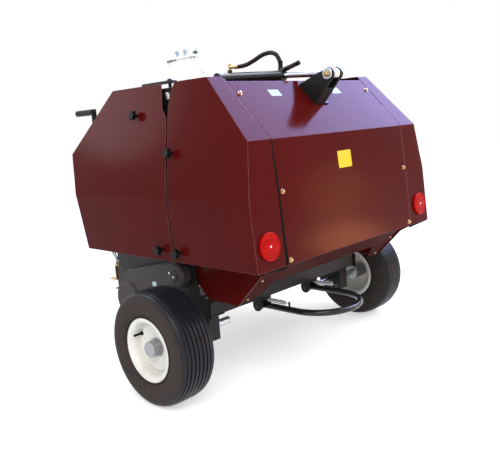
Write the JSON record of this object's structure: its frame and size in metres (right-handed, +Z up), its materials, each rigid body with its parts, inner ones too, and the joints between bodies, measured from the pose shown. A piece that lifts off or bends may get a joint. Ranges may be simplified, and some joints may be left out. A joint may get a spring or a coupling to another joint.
{
  "type": "mini round baler",
  "caption": "Three-point mounted mini round baler with folded side covers, a ram-lifted tailgate, tined pick-up, chamber rollers, two wheels and a parking stand.",
  "frame": {"origin": "on the ground under the middle of the machine's box", "axes": "+X forwards to the tractor, +Y to the left, +Z up"},
  "size_m": [1.1548, 1.35, 1.245],
  "materials": {
    "maroon_paint": "gloss paint on folded sheet",
    "black_paint": "satin black paint",
    "grey_guard": "dark grey paint",
    "zinc_plate": "zinc plated",
    "steel": "worn bare steel",
    "rod_chrome": "hard chrome",
    "gearbox_iron": "painted casting",
    "gold_zinc": "yellow zinc plated",
    "tyre_rubber": "dusty rubber",
    "hose_rubber": "ribbed hose cover",
    "rim_paint": "cream white paint",
    "reflector_red": "moulded lens",
    "black_plastic": "moulded"
  },
  "bodies": {
    "frame": {"left_wall": "black_paint", "right_wall": "black_paint", "axle_beam": "black_paint", "stub_axles": "zinc_plate", "left_cover": "maroon_paint", "right_cover": "maroon_paint", "front_sheet": "maroon_paint", "twine_box": "maroon_paint", "hinge_bolts": "zinc_plate", "hinge_bars": "black_paint", "ram_mount": "black_paint", "pickup_sides": "black_paint", "pickup_bands": "black_paint", "chain_guard": "grey_guard", "reel_guard": "grey_guard", "hitch_frame": "black_paint", "mast": "black_paint", "link_pins": "gold_zinc", "gearbox": "gearbox_iron", "pto_guard": "black_plastic", "stand_sleeve": "black_paint", "tensioner": "zinc_plate", "crank": "black_paint", "crank_grip": "black_plastic", "front_knobs": "black_plastic"},
    "lid": {"twine_lid": "maroon_paint"},
    "left_wheel": {"left_tyre": "tyre_rubber", "left_rim": "rim_paint", "left_hub": "zinc_plate"},
    "right_wheel": {"right_tyre": "tyre_rubber", "right_rim": "rim_paint", "right_hub": "zinc_plate"},
    "tailgate": {"gate_walls": "maroon_paint", "gate_left_cover": "maroon_paint", "gate_right_cover": "maroon_paint", "gate_panel": "maroon_paint", "gate_chute": "maroon_paint", "ram_bracket": "black_paint", "reflectors": "reflector_red", "gate_knobs": "black_plastic"},
    "ram_tube": {"ram_barrel": "black_paint", "ram_hose": "hose_rubber", "ram_fittings": "gold_zinc"},
    "ram_piston": {"ram_rod": "rod_chrome"},
    "kick_hoop": {"kicker": "black_paint", "kicker_springs": "zinc_plate"},
    "reel": {"pickup_reel": "steel"},
    "drive": {"pto_shaft": "steel"},
    "stand": {"stand_leg": "zinc_plate"},
    "front_roller_1_body": {"front_roller_1": "steel"},
    "front_roller_2_body": {"front_roller_2": "steel"},
    "front_roller_3_body": {"front_roller_3": "steel"},
    "gate_roller_1_body": {"gate_roller_1": "steel"},
    "gate_roller_2_body": {"gate_roller_2": "steel"}
  },
  "joints": [
    {"name": "left_wheel_spin", "type": "hinge", "parent": "frame", "child": "left_wheel", "pos_m": [-0.157, 0.6, 0.203], "axis": [0, 1, 0], "continuous": true},
    {"name": "right_wheel_spin", "type": "hinge", "parent": "frame", "child": "right_wheel", "pos_m": [-0.157, -0.6, 0.203], "axis": [0, 1, 0], "continuous": true},
    {"name": "tailgate_swing", "type": "hinge", "parent": "frame", "child": "tailgate", "pos_m": [-0.127, 0, 1.052], "axis": [0, 1, 0], "range_deg": [0, 60]},
    {"name": "ram_swing", "type": "hinge", "parent": "frame", "child": "ram_tube", "pos_m": [0.058, 0.008, 1.13], "axis": [0, 1, 0], "range_deg": [-2, 50]},
    {"name": "ram_stroke", "type": "slide", "parent": "ram_tube", "child": "ram_piston", "axis": [-0.9974, 0, -0.0722], "range_m": [-0.14, 0]},
    {"name": "kicker_swing", "type": "hinge", "parent": "frame", "child": "kick_hoop", "pos_m": [-0.217, 0, 0.238], "axis": [0, 1, 0], "range_deg": [-25, 0], "stiffness_Nm_per_rad": 60, "springref_deg": 28.65},
    {"name": "lid_swing", "type": "hinge", "parent": "frame", "child": "lid", "pos_m": [0.18811, 0, 1.06659], "axis": [0, -1, 0], "range_deg": [0, 90]},
    {"name": "reel_spin", "type": "hinge", "parent": "frame", "child": "reel", "pos_m": [0.185, 0, 0.288], "axis": [0, -1, 0], "continuous": true},
    {"name": "drive_spin", "type": "hinge", "parent": "frame", "child": "drive", "pos_m": [0.493, 0, 0.668], "axis": [1, 0, 0], "continuous": true},
    {"name": "stand_slide", "type": "slide", "parent": "frame", "child": "stand", "axis": [0, 0, 1], "range_m": [0, 0.25]},
    {"name": "front_roller_1_spin", "type": "hinge", "parent": "frame", "child": "front_roller_1_body", "pos_m": [0.14503, 0, 0.64755], "axis": [0, -1, 0], "continuous": true},
    {"name": "front_roller_2_spin", "type": "hinge", "parent": "frame", "child": "front_roller_2_body", "pos_m": [-0.00913, 0, 0.42324], "axis": [0, -1, 0], "continuous": true},
    {"name": "front_roller_3_spin", "type": "hinge", "parent": "frame", "child": "front_roller_3_body", "pos_m": [-0.11455, 0, 0.38797], "axis": [0, -1, 0], "continuous": true},
    {"name": "gate_roller_1_spin", "type": "hinge", "parent": "tailgate", "child": "gate_roller_1_body", "pos_m": [-0.22561, 0, 0.39282], "axis": [0, -1, 0], "continuous": true},
    {"name": "gate_roller_2_spin", "type": "hinge", "parent": "tailgate", "child": "gate_roller_2_body", "pos_m": [-0.32755, 0, 0.43714], "axis": [0, -1, 0], "continuous": true}
  ],
  "couplings": [
    {"joint": "ram_swing", "follows": "tailgate_swing", "ratio": 0.6952},
    {"joint": "ram_stroke", "follows": "tailgate_swing", "m_per_rad": -0.11486},
    {"joint": "drive_spin", "follows": "reel_spin", "ratio": 5},
    {"joint": "front_roller_1_spin", "follows": "reel_spin", "ratio": 1.6},
    {"joint": "front_roller_2_spin", "follows": "reel_spin", "ratio": 1.6},
    {"joint": "front_roller_3_spin", "follows": "reel_spin", "ratio": 1.6},
    {"joint": "gate_roller_1_spin", "follows": "reel_spin", "ratio": 1.6},
    {"joint": "gate_roller_2_spin", "follows": "reel_spin", "ratio": 1.6}
  ]
}
